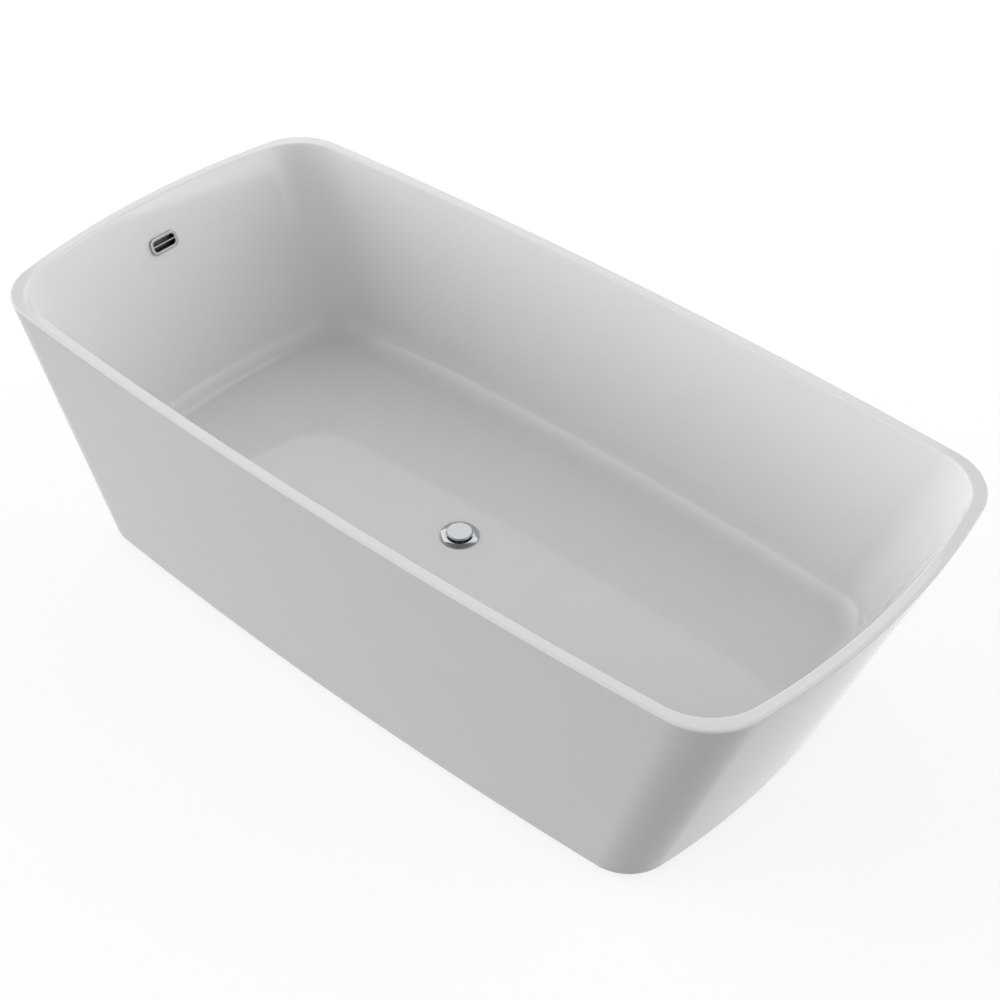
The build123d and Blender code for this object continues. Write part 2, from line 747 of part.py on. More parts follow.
nut_low = tee_neck - tail_neck_length - 8
nut_inner = tail_neck_radius + socket_fit + fitting_wall + running_fit
save(turned([
    (tail_bore_radius, tail_end),
    (tail_radius, tail_end),
    (tail_radius, nut_low - 0.5),
    (tail_neck_radius, nut_low - 0.5),
    (tail_neck_radius, tee_neck + 2),
    (tail_bore_radius, tee_neck + 2),
]), "tail_pipe")
save(turned([
    (tail_neck_radius + running_fit, nut_low),
    (nut_inner + 3, nut_low),
    (nut_inner + 3, nut_low + tail_nut_length),
    (nut_inner, nut_low + tail_nut_length),
    (nut_inner, tee_neck - tail_neck_length),
    (tail_neck_radius + running_fit, tee_neck - tail_neck_length),
]), "tail_nut")

# ---- Plug: the cap is pressed to shut it and pressed again to lift it ----

save(turned([
    (stem_radius + running_fit, boss_low - 8),
    (sleeve_radius, boss_low - 8),
    (sleeve_radius, boss_high),
    (sleeve_radius + boss_wall, boss_high),
    (sleeve_radius + boss_wall, boss_high + 2),
    (stem_radius + running_fit, boss_high + 2),
]), "plug_sleeve")

cap_top = cap_underside + cap_thickness
cap_boss_low = cap_underside - 5
with BuildPart() as plug_cap:
    add(washer(0, cap_radius, cap_underside, cap_top).part)
    fillet(plug_cap.edges().group_by(Axis.Z)[-1], 1.8)
    add(washer(0, stem_radius + 3, cap_boss_low, cap_underside).part)
    add(washer(0, stem_radius + running_fit, cap_boss_low, cap_underside).part, mode=Mode.SUBTRACT)
save(plug_cap, "plug_cap")

save(washer(seal_radius - 6, seal_radius, cap_underside - seal_height, cap_underside), "plug_seal")
save(turned([
    (0, boss_low - 12),
    (stem_radius + 1.5, boss_low - 12),
    (stem_radius + 1.5, boss_low - 8),
    (stem_radius, boss_low - 8),
    (stem_radius, cap_underside),
    (0, cap_underside),
]), "plug_stem")
save(washer(stem_radius + 0.6, spring_radius, boss_high + 2, cap_boss_low), "plug_spring")
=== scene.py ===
"""Freestanding double-ended bathtub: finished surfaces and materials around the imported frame.

Sizes are in millimetres, as on a drawing, and become metres when a mesh is made. The frame's origin
is on the ground under the middle of the tub, with +X along it and the overflow at the -X end. A piece
that stands in for a node of the frame takes its place from that node's box.
"""

import json
from collections import namedtuple

import bpy
import numpy as np
from mathutils import Matrix, Vector


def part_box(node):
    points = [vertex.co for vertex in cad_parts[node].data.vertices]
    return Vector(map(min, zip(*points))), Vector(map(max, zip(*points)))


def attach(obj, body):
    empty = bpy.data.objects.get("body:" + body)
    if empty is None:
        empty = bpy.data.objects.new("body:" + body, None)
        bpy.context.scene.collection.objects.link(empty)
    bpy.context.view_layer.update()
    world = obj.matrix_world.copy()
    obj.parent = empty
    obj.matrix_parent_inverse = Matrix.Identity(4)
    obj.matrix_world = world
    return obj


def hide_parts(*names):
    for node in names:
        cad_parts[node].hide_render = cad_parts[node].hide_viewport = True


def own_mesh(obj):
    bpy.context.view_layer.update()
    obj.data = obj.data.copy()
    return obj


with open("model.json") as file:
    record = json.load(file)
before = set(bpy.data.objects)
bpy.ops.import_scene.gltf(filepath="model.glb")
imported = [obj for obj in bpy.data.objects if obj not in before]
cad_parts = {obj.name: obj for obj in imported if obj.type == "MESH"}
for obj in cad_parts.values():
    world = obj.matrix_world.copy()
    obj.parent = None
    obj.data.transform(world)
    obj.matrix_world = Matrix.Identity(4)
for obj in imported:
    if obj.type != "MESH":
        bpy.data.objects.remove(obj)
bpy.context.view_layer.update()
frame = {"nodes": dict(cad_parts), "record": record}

MM = 0.001
QUARTER_TURN = np.pi / 2
SHARP_DEGREES = 35          # a sharper crease between two faces is shaded as an edge

# ---- Sizes of the two shells ----

overall_length = 1700
overall_width = 830
overall_height = 500
skirt_lift = 2
rim_width = 20
rim_edge_rounding = 4.2
seam_height = 480           # the basin's turned-down edge meets the skirt here
lip_underside = 495
foot_edge_rounding = 15
foot_flange_width = 26
floor_top = 124
floor_fillet = 50
basin_wall = 5
skirt_wall = 4

# Half length, half width, rise of the end, rise of the side, corner radius
Shape = namedtuple("Shape", "half_length half_width end_rise side_rise corner")
foot_outline = Shape(1371 / 2, 721 / 2, 48, 26, 88)
floor_outline = Shape(1387 / 2, 694 / 2, 50, 28, 93)
mouth_outline = Shape(overall_length / 2 - rim_width, overall_width / 2 - rim_width, 59, 34, 111)

# Columns of the grid on half an end, on a corner and on half a side
END_COLUMNS, CORNER_COLUMNS, SIDE_COLUMNS = 36, 28, 20

# ---- Sizes of the overflow and the waste ----

overflow_drop = 82.5        # below the rim
slot_half_width = 26
slot_half_height = 11
slot_corner = 7
bezel_margin = 6            # from the slot to the bezel's edge
bezel_corner = 12
bezel_gap = 0.6
bezel_proud = 4.5
spigot_wall = 2
spigot_gap = 0.5
spigot_back = 9.6           # end of the spigot behind the wall's face
bar_height = 2.6
bar_depth = 4
bar_setback = 1

Round = namedtuple("Round", "x y radius bottom top")


def round_node(node):
    """The middle, radius, bottom and top of an upright round node, in millimetres."""
    low, high = np.array(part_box(node)) / MM
    middle = (low + high) / 2
    return Round(middle[0], middle[1], (high[0] - low[0]) / 2, low[2], high[2])


drain = round_node("waste_flange")
waste_hole_radius = 27.5
waste_tube_radius = 26.5
waste_bore_radius = 23.5
throat_radius = 21
throat_height = 4           # from the seat down to the wider bore
flange_thickness = 3
flange_fall = 2.3           # of its top, out to its edge
cap_thickness = 4.5
cap_recess_gap = 0.4
plug_travel = 7
seat_gap = 0.3              # left under the cap when it is pressed in
seat_radius = 22.8
spider_drop = 18            # top of the arms' boss below the floor
spider_height = 10
sleeve_hole_radius = 5.05
boss_radius = 7.5
arm_width = 3
arm_height = 5

# ---- Sizes of the levelling feet ----

thread_radius = 6.0
thread_pitch = 1.75
thread_depth = 1.05
collar_low, collar_high, collar_flats = 12, 18, 19
screw_spigot_radius = 5.0
turning_room = 0.05         # round and under the part of the screw that turns in its foot
pad_thickness = 6
pad_boss_radius = 11
pad_socket_radius = 5.05
pad_socket_floor = 4
groove_middle, groove_radius = 18.5, 1.2


# ---- Meshes ----

def outward(points, faces):
    """The faces of one closed shell, turned so that its volume about its own middle is positive."""
    fans = np.array([
        (face[0], face[second], face[second + 1])
        for face in faces
        for second in range(1, len(face) - 1)
    ])
    corners = points[fans] - points[fans].mean(axis=(0, 1))
    volume = np.einsum("ij,ij->", corners[:, 0], np.cross(corners[:, 1], corners[:, 2]))
    return faces if volume > 0 else [face[::-1] for face in faces]


def new_piece(name, points, faces, sharp_degrees=SHARP_DEGREES):
    """A mesh from points in millimetres and the faces of closed shells that face outwards."""
    mesh = bpy.data.meshes.new(name)
    mesh.from_pydata((points * MM).tolist(), [], faces)
    mesh.shade_smooth()
    mesh.set_sharp_from_angle(angle=np.radians(sharp_degrees))
    piece = bpy.data.objects.new(name, mesh)
    bpy.context.scene.collection.objects.link(piece)
    return piece


def grid_faces(rows, columns, ring=True):
    """Quads of a grid of rows by columns, closed along each row, and across the rows if ring is true."""
    index = np.arange(rows * columns).reshape(rows, columns)
    if ring:
        index = np.vstack([index, index[:1]])
    right = np.roll(index, -1, axis=1)
    quads = np.stack([index[:-1], right[:-1], right[1:], index[1:]], axis=-1)
    return quads.reshape(-1, 4).tolist()


def ring_piece(name, grid, **options):
    """A piece whose grid closes on itself both ways, as a torus does."""
    points = grid.reshape(-1, 3)
    return new_piece(name, points, outward(points, grid_faces(*grid.shape[:2])), **options)


def capped(grid):
    """Points and faces of a grid whose first and last rows are closed by a fan to their middles."""
    rows, columns = grid.shape[:2]
    points = np.vstack([grid.reshape(-1, 3), grid[0].mean(axis=0), grid[-1].mean(axis=0)])
    index = np.arange(columns)
    following = np.roll(index, -1)
    last = (rows - 1) * columns
    poles = rows * columns
    low_fan = np.stack([following, index, np.full(columns, poles)], axis=-1)
    high_fan = np.stack([index + last, following + last, np.full(columns, poles + 1)], axis=-1)
    faces = grid_faces(rows, columns, ring=False) + low_fan.tolist() + high_fan.tolist()
    return points, outward(points, faces)


def capped_piece(name, grid, **options):
    """A piece of one grid with closed ends."""
    return new_piece(name, *capped(grid), **options)


def joined(*shells):
    """The points and faces of several closed shells as one list each."""
    points, faces = np.zeros((0, 3)), []
    for more, added in shells:
        faces = faces + [[corner + len(points) for corner in face] for face in added]
        points = np.vstack([points, more])
    return points, faces


def arc(centre, radius, start, stop, count=7):
    """Points of an arc in a profile, from one angle in degrees to another."""
    angle = np.radians(np.linspace(start, stop, count))
    return np.stack([centre[0] + radius * np.cos(angle), centre[1] + radius * np.sin(angle)], axis=-1)


def rounded_section(width, height, corner, count):
    """Points round a rectangle about the origin, with an arc at each corner."""
    across, up = width / 2 - corner, height / 2 - corner
    quarters = ((across, up, 0), (-across, up, 90), (-across, -up, 180), (across, -up, 270))
    return np.concatenate([arc((x, y), corner, start, start + 90, count) for x, y, start in quarters])


def turned(profile, x=0.0, y=0.0, columns=96):
    """The grid of a (radius, height) profile turned about an upright axis at x, y."""
    profile = np.asarray(profile, dtype=float)
    angle = np.linspace(0, 2 * np.pi, columns, endpoint=False)
    radius, height = profile[:, :1], profile[:, 1:]
    return np.stack(
        [x + radius * np.cos(angle), y + radius * np.sin(angle), height + 0 * angle], axis=-1)


# ---- Outlines and leaning walls of the shells ----

def grown(shape, amount):
    """The outline, larger by amount all round."""
    return shape._replace(
        half_length=shape.half_length + amount,
        half_width=shape.half_width + amount,
        corner=shape.corner + amount,
    )


def between(lower, upper, share):
    """The outline at a share of the way from one outline to another."""
    return Shape(*(low + (high - low) * share for low, high in zip(lower, upper)))


def outline(shape):
    """Points and outward normals of four bowed sides and four round corners, all tangent.

    An end is an arc that rises end_rise over the half width and a side one that rises side_rise over
    the half length. The corner arc's centre lies one corner radius inside both.
    """
    end_radius = (shape.half_width**2 + shape.end_rise**2) / (2 * shape.end_rise)
    side_radius = (shape.half_length**2 + shape.side_rise**2) / (2 * shape.side_rise)
    end_centre = np.array([shape.half_length - end_radius, 0])
    side_centre = np.array([0, shape.half_width - side_radius])
    from_end, from_side = end_radius - shape.corner, side_radius - shape.corner
    span = np.hypot(end_centre[0], side_centre[1])
    along = (from_end**2 - from_side**2 + span**2) / (2 * span)
    across = np.sqrt(from_end**2 - along**2)
    unit = (side_centre - end_centre) / span
    corner_centre = end_centre + along * unit + across * np.array([-unit[1], unit[0]])
    end_angle = np.arctan2(corner_centre[1], corner_centre[0] - end_centre[0])
    side_angle = np.arctan2(corner_centre[1] - side_centre[1], corner_centre[0])
    pieces = (
        (end_centre, end_radius, 0, end_angle, END_COLUMNS),
        (corner_centre, shape.corner, end_angle, side_angle, CORNER_COLUMNS),
        (side_centre, side_radius, side_angle, QUARTER_TURN, SIDE_COLUMNS),
    )
    points, normals = [], []
    for centre, radius, start, stop, count in pieces:
        angle = np.linspace(start, stop, count, endpoint=False)
        normal = np.stack([np.cos(angle), np.sin(angle)], axis=-1)
        points.append(centre + radius * normal)
        normals.append(normal)
    points.append(np.array([[0.0, shape.half_width]]))
    normals.append(np.array([[0.0, 1.0]]))
    quarter = np.concatenate(points), np.concatenate(normals)
    # The quarter from +X to +Y is mirrored to each of the others, without its shared end points
    whole = []
    for part in quarter:
        second = part[-2:0:-1] * (-1, 1)
        whole.append(np.concatenate([part, second, -part, -second]))
    return whole


class Wall:
    """A wall ruled between a lower and an upper outline, with its lean from the upright."""

    def __init__(self, lower, low_z, upper, high_z):
        self.low, low_normal = outline(lower)
        self.high, high_normal = outline(upper)
        self.low_z, self.high_z = low_z, high_z
        normal = low_normal + high_normal
        self.normal = normal / np.linalg.norm(normal, axis=1, keepdims=True)
        run = np.einsum("ij,ij->i", self.high - self.low, self.normal)
        self.lean = np.arctan2(run, high_z - low_z)

    def at(self, z):
        """The wall's row at a height."""
        flat = self.low + (self.high - self.low) * (z - self.low_z) / (self.high_z - self.low_z)
        return level(flat, z)

    def rounding(self, z, side, up, radius, start, stop, count):
        """Rows of the arc between the wall and the level z, from one angle to another.

        side is +1 where the arc's centre lies outside the wall's foot or top and -1 where it lies
        inside, and up is +1 where it lies above z. Angles are measured from the outward normal.
        """
        reach = radius / np.tan((QUARTER_TURN - side * up * self.lean) / 2)
        share = np.linspace(0, 1, count)[:, None]
        angle = (1 - share) * start + share * stop
        offset = side * reach + radius * np.cos(angle)
        height = z + up * radius + radius * np.sin(angle)
        flat = self.at(z)[..., :2] + self.normal * offset[..., None]
        return np.concatenate([flat, height[..., None]], axis=-1)


def level(flat, z):
    """One row of a grid at a height, from its flat points."""
    return np.concatenate([flat, np.full((len(flat), 1), float(z))], axis=1)[None]


def filled(start, stop, shares):
    """Rows between two rows, at shares of the way."""
    share = np.asarray(shares)[:, None, None]
    return start[-1:] * (1 - share) + stop[:1] * share


def sharp_reach(half_top, half_foot):
    """How far a leaning wall's top corner would stand out if it weren't rounded."""
    corner_angle = np.arctan2(overall_height, half_top - half_foot)
    return rim_edge_rounding * (1 / np.tan(corner_angle / 2) - 1)


rim_outline = Shape(
    overall_length / 2 + sharp_reach(overall_length / 2, foot_outline.half_length),
    overall_width / 2 + sharp_reach(overall_width / 2, foot_outline.half_width),
    *mouth_outline[2:],
)

outer_wall = Wall(foot_outline, 0, rim_outline, overall_height)
hollow_wall = Wall(
    grown(between(foot_outline, rim_outline, skirt_wall / overall_height), -skirt_wall), skirt_wall,
    grown(rim_outline, -skirt_wall), overall_height,
)
basin_depth = overall_height - floor_top
water_wall = Wall(floor_outline, floor_top, mouth_outline, overall_height)
under_wall = Wall(
    grown(between(floor_outline, mouth_outline, -basin_wall / basin_depth), basin_wall),
    floor_top - basin_wall, grown(mouth_outline, basin_wall), overall_height,
)

# Rows near each end keep the shading flat up to the roundings
WALL_SHARES = np.concatenate([[0.004, 0.02], np.linspace(0, 1, 26)[1:-1], [0.98, 0.996]])
FLOOR_SHARES = np.concatenate([[0.006, 0.03], np.linspace(0, 1, 10)[1:-1], [0.96, 0.99]])


# ---- The overflow's place on the end wall ----

wall_run = mouth_outline.half_length - floor_outline.half_length
wall_length = np.hypot(wall_run, basin_depth)
lean_cos, lean_sin = basin_depth / wall_length, wall_run / wall_length
overflow_centre = np.array([
    -(mouth_outline.half_length - wall_run * overflow_drop / basin_depth),
    0,
    overall_height - overflow_drop,
])
into_water = np.array([lean_cos, 0, lean_sin])
up_wall = np.array([-lean_sin, 0, lean_cos])


def on_end_wall(across, up, out):
    """Points given across the end wall, up it and out of it into the water."""
    across, up, out = np.broadcast_arrays(across, up, out)
    across_wall = np.array([0.0, 1.0, 0.0])
    return (
        overflow_centre
        + across[..., None] * across_wall
        + up[..., None] * up_wall
        + out[..., None] * into_water
    )


def slot_path(grow, corner, edge_columns=8, corner_columns=12):
    """Flat points of the rounded slot, larger by grow all round, as four straights and four arcs."""
    half_width, half_height = slot_half_width + grow, slot_half_height + grow
    quarter_starts = ((1, 1, 0), (-1, 1, 90), (-1, -1, 180), (1, -1, 270))
    points = []
    for across, up, start in quarter_starts:
        centre = (across * (half_width - corner), up * (half_height - corner))
        points.append(arc(centre, corner, start, start + 90, corner_columns))
    path = []
    for number, bend in enumerate(points):
        following = points[(number + 1) % 4]
        share = np.linspace(0, 1, edge_columns + 2)[1:-1, None]
        path += [bend, bend[-1] * (1 - share) + following[0] * share]
    return np.concatenate(path)


def slot_ring(profile):
    """The grid of a closed (growth, out of the wall) profile carried round the slot."""
    rows = []
    for grow, out in profile:
        corner = slot_corner + grow * (bezel_corner - slot_corner) / bezel_margin
        path = slot_path(grow, max(corner, 1))
        rows.append(on_end_wall(path[:, 0], path[:, 1], out))
    return np.stack(rows)


# ---- Shells ----

def make_basin():
    """The acrylic basin: one grid round the tub that runs over the rim, down and under the floor."""
    lean_out, lean_in, lean_under = outer_wall.lean, water_wall.lean, under_wall.lean
    rim_outside = outer_wall.rounding(
        overall_height, -1, -1, rim_edge_rounding, QUARTER_TURN, -lean_out, 9)
    lip_bottom = outer_wall.at(seam_height)
    lip_inside = np.concatenate([hollow_wall.at(seam_height), hollow_wall.at(lip_underside)])
    under_top = under_wall.at(lip_underside)
    under_bend = under_wall.rounding(
        floor_top - basin_wall, -1, 1, floor_fillet + basin_wall, -lean_under, -QUARTER_TURN, 14)
    floor_bend = water_wall.rounding(floor_top, -1, 1, floor_fillet, -QUARTER_TURN, -lean_in, 20)
    rim_inside = water_wall.rounding(
        overall_height, 1, -1, rim_edge_rounding, np.pi - lean_in, QUARTER_TURN, 9)
    bearing = np.arctan2(floor_bend[0, :, 1], floor_bend[0, :, 0] - drain.x)
    hole = waste_hole_radius * np.stack([np.cos(bearing), np.sin(bearing)], axis=-1) + (drain.x, 0)
    hole_low, hole_high = level(hole, floor_top - basin_wall), level(hole, floor_top)
    rows = [
        rim_outside,
        filled(rim_outside, lip_bottom, (0.03, 0.3, 0.65)),
        lip_bottom,
        lip_inside,
        under_top,
        filled(under_top, under_bend, WALL_SHARES),
        under_bend,
        filled(under_bend, hole_low, FLOOR_SHARES),
        hole_low,
        hole_high,
        filled(hole_high, floor_bend, FLOOR_SHARES),
        floor_bend,
        filled(floor_bend, rim_inside, WALL_SHARES),
        rim_inside,
        filled(rim_inside, rim_outside, (0.1, 0.5, 0.9)),
    ]
    basin = ring_piece("acrylic_basin", np.concatenate(rows))
    # The overflow's hole is a straight cut through the end wall
    hole_grow = spigot_wall + spigot_gap
    path = slot_path(hole_grow, slot_corner + hole_grow)
    cut_reach = 3 * basin_wall
    cutter = capped_piece("overflow_cut", np.stack([
        on_end_wall(path[:, 0], path[:, 1], out) for out in (-cut_reach, cut_reach)]))
    cut = basin.modifiers.new("overflow_hole", "BOOLEAN")
    cut.object, cut.operation, cut.solver = cutter, "DIFFERENCE", "EXACT"
    seen = bpy.context.evaluated_depsgraph_get()
    whole = bpy.data.meshes.new_from_object(basin.evaluated_get(seen))
    basin.modifiers.clear()
    basin.data = whole
    bpy.data.objects.remove(cutter)
    whole.shade_smooth()
    whole.set_sharp_from_angle(angle=np.radians(SHARP_DEGREES))
    return basin


def make_skirt():
    """The acrylic skirt: outer wall, rounded foot, inward flange and inner wall in one grid."""
    foot_stop = -np.arcsin((foot_edge_rounding - skirt_lift) / foot_edge_rounding)
    foot_bend = outer_wall.rounding(0, -1, 1, foot_edge_rounding, -outer_wall.lean, foot_stop, 10)
    flange_edge = outline(grown(foot_outline, -foot_flange_width))[0]
    inner_bend = hollow_wall.rounding(
        skirt_wall, -1, 1, foot_edge_rounding - skirt_wall, -QUARTER_TURN, -hollow_wall.lean, 8)
    top, inner_top = outer_wall.at(seam_height), hollow_wall.at(seam_height)
    rows = [
        top,
        filled(top, foot_bend, WALL_SHARES),
        foot_bend,
        level(flange_edge, skirt_lift),
        level(flange_edge, skirt_wall),
        inner_bend,
        filled(inner_bend, inner_top, WALL_SHARES),
        inner_top,
    ]
    return ring_piece("acrylic_skirt", np.concatenate(rows))


# ---- Overflow and waste ----

def make_bezel():
    """The overflow's frame, with rounded inner and outer edges."""
    front, outer_edge, inner_edge = bezel_gap + bezel_proud, 0.8, 0.4
    return ring_piece("overflow_frame", slot_ring(np.concatenate([
        [(bezel_margin, bezel_gap)],
        arc((bezel_margin - outer_edge, front - outer_edge), outer_edge, 0, 90, 8),
        arc((inner_edge, front - inner_edge), inner_edge, 90, 180, 6),
        [(0, bezel_gap)],
    ])))


def make_bar():
    """The overflow's bar: a rounded rectangle straight across the slot, its ends buried in the frame."""
    buried, bar_columns = 0.5, 12
    section = rounded_section(bar_height, bar_depth, corner=0.8, count=7)
    middle = bezel_gap + bezel_proud - bar_setback - bar_depth / 2
    reach = slot_half_width + buried
    across = np.linspace(-reach, reach, bar_columns)[:, None]
    return capped_piece("overflow_bar", on_end_wall(across, section[:, 0], middle + section[:, 1]))


def make_spigot():
    """The black sleeve behind the frame, which passes through the wall. Its black is painted shade,
    standing for the dark deep in the slot.
    """
    mouth, inside = bezel_gap + 0.4, 0.3
    return ring_piece("overflow_sleeve", slot_ring([
        (inside, mouth), (inside, -spigot_back), (spigot_wall, -spigot_back), (spigot_wall, mouth)]))


def make_flange():
    """The waste's flange: a turned ring with a crowned top, the cap's recess, the seat and the tube.

    The ring's top falls away towards its edge as the share of its width to the power 1.5.
    """
    cap, seal = round_node("plug_cap"), round_node("plug_seal")
    recess_radius = cap.radius + cap_recess_gap
    recess_floor = cap.top - cap_thickness - plug_travel - seat_gap
    seat_floor = recess_floor - (seal.top - seal.bottom)
    throat_bottom = seat_floor - throat_height
    flange_low = drain.top - flange_thickness
    recess_edge, throat_edge = 0.6, 0.5
    crown_start = recess_radius + recess_edge
    share = np.linspace(1, 0, 14)[:-1]
    crown = np.stack([
        crown_start + (drain.radius - crown_start) * share,
        drain.top - flange_fall * share**1.5,
    ], axis=-1)
    profile = np.concatenate([
        [(waste_bore_radius, drain.bottom), (waste_tube_radius, drain.bottom)],
        [(waste_tube_radius, flange_low), (drain.radius, flange_low)],
        crown,
        arc((crown_start, drain.top - recess_edge), recess_edge, 90, 180, 5),
        [(recess_radius, recess_floor), (seat_radius, recess_floor), (seat_radius, seat_floor)],
        arc((throat_radius + throat_edge, seat_floor - throat_edge), throat_edge, 90, 180, 4),
        [(throat_radius, throat_bottom), (waste_bore_radius, throat_bottom)],
    ])
    return ring_piece("waste_ring", turned(profile, drain.x, columns=144))


def make_spider():
    """The four arms in the waste's throat and the boss that the plug's sleeve stands in."""
    boss_high = floor_top - spider_drop
    boss_low = boss_high - spider_height
    boss = turned([
        (sleeve_hole_radius, boss_low), (boss_radius, boss_low),
        (boss_radius, boss_high), (sleeve_hole_radius, boss_high),
    ], drain.x, columns=48)
    boss_points = boss.reshape(-1, 3)
    shells = [(boss_points, outward(boss_points, grid_faces(*boss.shape[:2])))]
    centre = np.array([drain.x, 0, boss_high - 2 - arm_height / 2])
    section = rounded_section(arm_width, arm_height, corner=0.5, count=4)
    upright = np.array([0, 0, 1])
    inner_end, outer_end = boss_radius - 0.5, waste_bore_radius + 0.5
    for turn in np.arange(4) * QUARTER_TURN:
        along = np.array([np.cos(turn), np.sin(turn), 0])
        across = np.array([-np.sin(turn), np.cos(turn), 0])
        placed = centre + section[:, :1] * across + section[:, 1:] * upright
        shells.append(capped(np.stack([
            placed + reach * along for reach in np.linspace(inner_end, outer_end, 4)])))
    return new_piece("waste_spider", *joined(*shells))


def make_cap():
    """The plug's cap: a disc with a rounded edge, a boss for the stem and a softly domed top.

    The dome falls from its middle by a sag times the square of the share of the radius.
    """
    cap = round_node("plug_cap")
    disc_underside = cap.top - cap_thickness
    stem_radius, stem_depth, boss = 3.05, 6, 6
    low_edge, edge, sag = 0.4, 1.8, 0.25
    spread = np.linspace(1, 0, 14)[:-1]
    dome = np.stack([(cap.radius - edge) * spread, cap.top - sag * spread**2], axis=-1)
    profile = np.concatenate([
        [(stem_radius, cap.top - stem_depth), (stem_radius, cap.bottom)],
        [(boss, cap.bottom), (boss, disc_underside)],
        arc((cap.radius - low_edge, disc_underside + low_edge), low_edge, -90, 0, 4),
        arc((cap.radius - edge, cap.top - sag - edge), edge, 0, 90, 9)[:-1],
        dome,
    ])
    return capped_piece("plug_lid", turned(profile, drain.x, columns=144))


def make_seal():
    """The ring under the cap: a flat washer with a round outer lip."""
    seal = round_node("plug_seal")
    width, lip = 6, (seal.top - seal.bottom) / 2
    profile = np.concatenate([
        [(seal.radius - width, seal.top), (seal.radius - width, seal.bottom)],
        arc((seal.radius - lip, seal.bottom + lip), lip, -90, 90, 11),
    ])
    return ring_piece("plug_washer", turned(profile, drain.x))


def make_spring():
    """The plug's spring: a wire circle carried up a helix whose end turns lie flat."""
    coil = round_node("plug_spring")
    wire, turns, steps, round_steps = 0.7, 7, 30, 10
    bottom, top = coil.bottom + wire, coil.top - wire
    share = np.linspace(0, 1, turns * steps)
    angle = share * turns * 2 * np.pi
    # One turn at each end rises only by the wire's own radius
    dead = 1 / turns
    height = np.interp(share, (0, dead, 1 - dead, 1), (bottom, bottom + wire, top - wire, top))
    out = np.stack([np.cos(angle), np.sin(angle), 0 * angle], axis=-1)
    middle = np.stack([0 * angle + drain.x, 0 * angle, height], axis=-1)
    centre = middle + (coil.radius - wire) * out
    round_wire = np.linspace(0, 2 * np.pi, round_steps, endpoint=False)[:, None]
    upright = np.array([0, 0, 1])
    grid = centre[:, None] + wire * (np.cos(round_wire) * out[:, None] + np.sin(round_wire) * upright)
    return capped_piece("plug_coil", grid, sharp_degrees=60)


# ---- Levelling feet ----

def make_stud(name, node):
    """A levelling screw: spigot, hexagon collar and M12 thread, as one radius over angle and height.

    The thread's radius falls from its crest to its root as a wave of the height less the part of the
    pitch that the angle has turned, which winds it to the right. It is flat on an eighth of the pitch
    at the crest, and its last millimetre is turned down to a chamfer.
    """
    stud = round_node(node)
    columns, rows_per_pitch, chamfer = 48, 7, 1
    bottom, low = stud.bottom + turning_room, collar_low + turning_room
    spigot, edge, break_height = screw_spigot_radius - turning_room, 0.5, 0.7
    angle = np.linspace(0, 2 * np.pi, columns, endpoint=False)
    hexagon = collar_flats / 2 / np.cos(angle % (np.pi / 3) - np.pi / 6)
    chamfered = np.minimum(hexagon, collar_flats / 2 + 0.6)
    thread_z = np.arange(collar_high, stud.top, thread_pitch / rows_per_pitch)
    phase = (thread_z[:, None] / thread_pitch - angle / (2 * np.pi)) % 1
    crest_share, flank_share = 0.125, 0.6
    flank = np.clip((np.abs(phase - 0.5) * 2 - crest_share) / flank_share, 0, 1)
    end_radius = thread_radius - chamfer
    thread = np.minimum(
        thread_radius - thread_depth * flank, end_radius + (stud.top - thread_z[:, None]))
    rows = [
        (bottom, spigot - edge),
        (bottom + edge, spigot),
        (low, spigot),
        (low, chamfered),
        (low + break_height, hexagon),
        (collar_high - break_height, hexagon),
        (collar_high, chamfered),
        *zip(thread_z, thread),
        (stud.top, end_radius),
    ]
    heights = np.array([z for z, _ in rows])[:, None]
    radii = np.stack([np.broadcast_to(radius, columns) for _, radius in rows])
    grid = np.stack([
        stud.x + radii * np.cos(angle),
        stud.y + radii * np.sin(angle),
        heights + 0 * radii,
    ], axis=-1)
    return capped_piece(name, grid, sharp_degrees=30)


def make_pad(name, node):
    """A moulded foot: a disc with a rounded edge, a ring groove on top and a socket for the screw."""
    pad = round_node(node)
    low_edge, disc_edge, root, boss_edge, socket_edge = 0.6, 2, 1, 0.8, 0.4
    profile = np.concatenate([
        arc((pad.radius - low_edge, low_edge), low_edge, -90, 0, 4),
        arc((pad.radius - disc_edge, pad_thickness - disc_edge), disc_edge, 0, 90, 6),
        arc((groove_middle, pad_thickness), groove_radius, 0, -180, 9),
        arc((pad_boss_radius + root, pad_thickness + root), root, 270, 180, 5),
        arc((pad_boss_radius - boss_edge, pad.top - boss_edge), boss_edge, 0, 90, 5),
        arc((pad_socket_radius + socket_edge, pad.top - socket_edge), socket_edge, 90, 180, 4),
        [(pad_socket_radius, pad_socket_floor)],
    ])
    return capped_piece(name, turned(profile, pad.x, pad.y))


# ---- Materials ----

def colour(code):
    """A linear colour from an sRGB hex code."""
    parts = np.array([int(code[start:start + 2], 16) for start in (1, 3, 5)]) / 255
    linear = np.where(parts <= 0.04045, parts / 12.92, ((parts + 0.055) / 1.055) ** 2.4)
    return (*linear.tolist(), 1.0)


def per(millimetres):
    """The scale of a texture whose features are that many millimetres apart."""
    return 1 / (millimetres * MM)


def add(tree, kind, inputs, **settings):
    """Adds a node with its settings, and sets or links its inputs."""
    made = tree.nodes.new(kind)
    for key, value in settings.items():
        setattr(made, key, value)
    for key, value in inputs.items():
        if isinstance(value, bpy.types.NodeSocket):
            tree.links.new(value, made.inputs[key])
        else:
            made.inputs[key].default_value = value
    return made


def new_material(name):
    """An empty material: its node tree and the place on the piece."""
    material = bpy.data.materials.new(name)
    material.use_nodes = True
    tree = material.node_tree
    tree.nodes.clear()
    place = add(tree, "ShaderNodeTexCoord", {}).outputs["Object"]
    return material, tree, place


